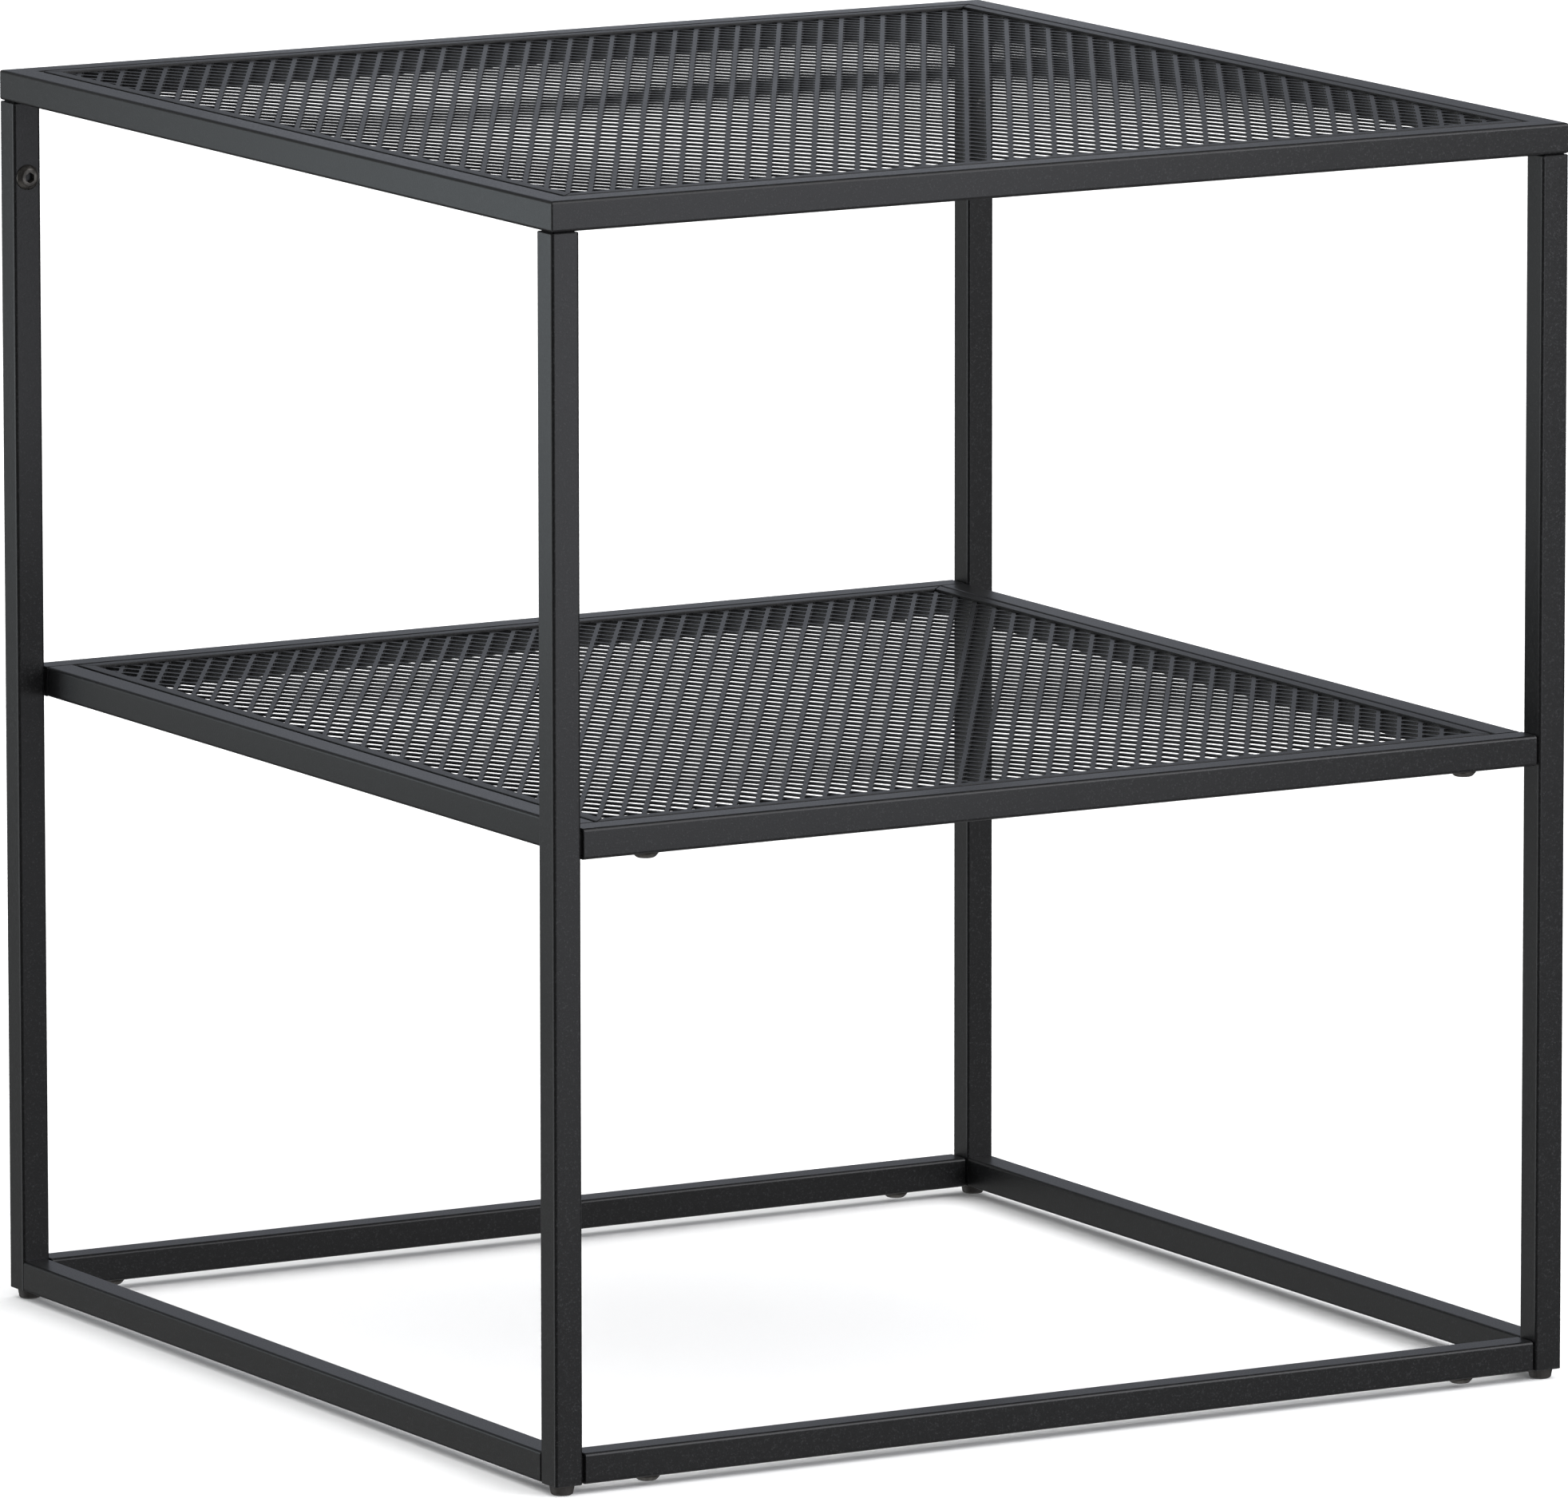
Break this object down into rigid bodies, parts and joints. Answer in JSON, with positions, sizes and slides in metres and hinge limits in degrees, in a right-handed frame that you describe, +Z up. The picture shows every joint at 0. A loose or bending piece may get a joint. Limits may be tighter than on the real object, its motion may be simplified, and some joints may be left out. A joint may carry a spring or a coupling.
{
  "type": "side table",
  "caption": "Square two-tier side table: black square-tube frame with a diamond-mesh top and a diamond-mesh shelf at half height, bolted together from flat frames.",
  "frame": {"origin": "on the floor, under the centre of the table", "axes": "+Z up, +X to the right along the front, the front faces -Y"},
  "size_m": [0.45, 0.45, 0.495],
  "materials": {
    "frame_paint": "fine-textured matt black powder coat",
    "mesh_paint": "fine-textured matt black powder coat",
    "strip_paint": "fine-textured matt black powder coat",
    "weld_paint": "powder coat over a weld bead",
    "spigot_steel": "drawn bar, black oxide",
    "screw_steel": "black-zinc plated, satin",
    "foot_plastic": "moulded, slightly satin"
  },
  "bodies": {
    "root": {"bottom_rail_back": "frame_paint", "bottom_rail_front": "frame_paint", "bottom_rail_left": "frame_paint", "bottom_rail_right": "frame_paint", "bottom_screws": "screw_steel", "bottom_spigot_back_left": "spigot_steel", "bottom_spigot_back_right": "spigot_steel", "bottom_spigot_front_left": "spigot_steel", "bottom_spigot_front_right": "spigot_steel", "foot_back_left": "foot_plastic", "foot_back_right": "foot_plastic", "foot_front_left": "foot_plastic", "foot_front_right": "foot_plastic", "leg_back_left": "frame_paint", "leg_back_right": "frame_paint", "leg_front_left": "frame_paint", "leg_front_right": "frame_paint", "leg_screws": "screw_steel", "leg_spigot_back_left": "spigot_steel", "leg_spigot_back_right": "spigot_steel", "leg_spigot_front_left": "spigot_steel", "leg_spigot_front_right": "spigot_steel", "shelf_mesh": "mesh_paint", "shelf_rail_back": "frame_paint", "shelf_rail_front": "frame_paint", "shelf_rail_left": "frame_paint", "shelf_rail_right": "frame_paint", "shelf_screws": "screw_steel", "shelf_spigot_back_left": "spigot_steel", "shelf_spigot_back_right": "spigot_steel", "shelf_spigot_front_left": "spigot_steel", "shelf_spigot_front_right": "spigot_steel", "shelf_strip_back": "strip_paint", "shelf_strip_front": "strip_paint", "shelf_strip_left": "strip_paint", "shelf_strip_right": "strip_paint", "shelf_tack_welds": "weld_paint", "top_mesh": "mesh_paint", "top_rail_back": "frame_paint", "top_rail_front": "frame_paint", "top_rail_left": "frame_paint", "top_rail_right": "frame_paint", "top_strip_back": "strip_paint", "top_strip_front": "strip_paint", "top_strip_left": "strip_paint", "top_strip_right": "strip_paint", "top_tack_welds": "weld_paint"}
  },
  "joints": []
}
